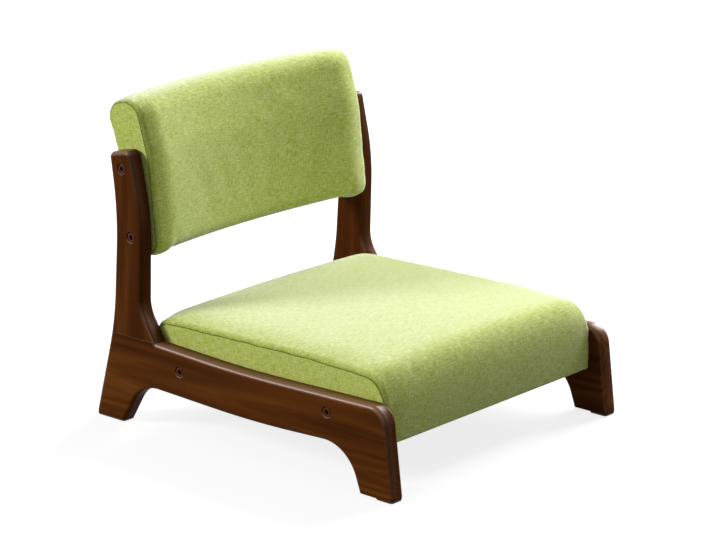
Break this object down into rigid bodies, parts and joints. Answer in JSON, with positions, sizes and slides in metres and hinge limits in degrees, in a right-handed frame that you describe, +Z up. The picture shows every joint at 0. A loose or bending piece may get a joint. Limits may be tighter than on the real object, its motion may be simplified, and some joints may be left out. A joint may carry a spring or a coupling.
{
  "type": "floor chair",
  "caption": "Low floor chair: two dark wooden side frames with legs and back posts, bolted to an upholstered seat and a curved, padded backrest.",
  "frame": {"origin": "on the floor, at the middle of the whole chair's width and depth", "axes": "+X to the right as seen from in front, +Y towards the back of the chair, +Z up"},
  "size_m": [0.48, 0.5593, 0.4546],
  "materials": {
    "walnut": "dark walnut stain under satin lacquer, edges rounded and a little lighter",
    "beech": "plain planed hardwood",
    "plywood": "sanded plywood",
    "green_fabric": "woven linen-look upholstery cloth in lime green, lighter and darker yarns mixed",
    "foam": "open-cell polyurethane foam",
    "black_cloth": "thin non-woven cloth",
    "foot_pad": "dark brown rubber, near the colour of the wood",
    "bronzed_steel": "dark bronzed steel",
    "steel": "plain steel"
  },
  "bodies": {
    "root": {"left_lower_frame": "walnut", "left_back_post": "walnut", "left_post_dowel_front": "beech", "left_front_foot_pad": "foot_pad", "left_front_pad_nail": "steel", "left_seat_bolt_front": "bronzed_steel", "left_seat_insert_front": "steel", "left_front_corner_screw": "steel", "left_front_board_screw": "steel", "left_post_dowel_rear": "beech", "left_rear_foot_pad": "foot_pad", "left_rear_pad_nail": "steel", "left_seat_bolt_rear": "bronzed_steel", "left_seat_insert_rear": "steel", "left_rear_corner_screw": "steel", "left_rear_board_screw": "steel", "left_back_bolt_lower": "bronzed_steel", "left_back_insert_lower": "steel", "left_back_bolt_upper": "bronzed_steel", "left_back_insert_upper": "steel", "left_panel_screw_low": "steel", "left_panel_screw_high": "steel", "seat_left_batten": "beech", "back_left_batten": "beech", "right_lower_frame": "walnut", "right_back_post": "walnut", "right_post_dowel_front": "beech", "right_front_foot_pad": "foot_pad", "right_front_pad_nail": "steel", "right_seat_bolt_front": "bronzed_steel", "right_seat_insert_front": "steel", "right_front_corner_screw": "steel", "right_front_board_screw": "steel", "right_post_dowel_rear": "beech", "right_rear_foot_pad": "foot_pad", "right_rear_pad_nail": "steel", "right_seat_bolt_rear": "bronzed_steel", "right_seat_insert_rear": "steel", "right_rear_corner_screw": "steel", "right_rear_board_screw": "steel", "right_back_bolt_lower": "bronzed_steel", "right_back_insert_lower": "steel", "right_back_bolt_upper": "bronzed_steel", "right_back_insert_upper": "steel", "right_panel_screw_low": "steel", "right_panel_screw_high": "steel", "seat_right_batten": "beech", "back_right_batten": "beech", "seat_front_batten": "beech", "seat_rear_batten": "beech", "seat_board": "plywood", "back_panel": "plywood", "seat_foam": "foam", "back_foam": "foam", "seat_cover": "green_fabric", "back_cover": "green_fabric", "seat_dust_cover": "black_cloth"}
  },
  "joints": []
}
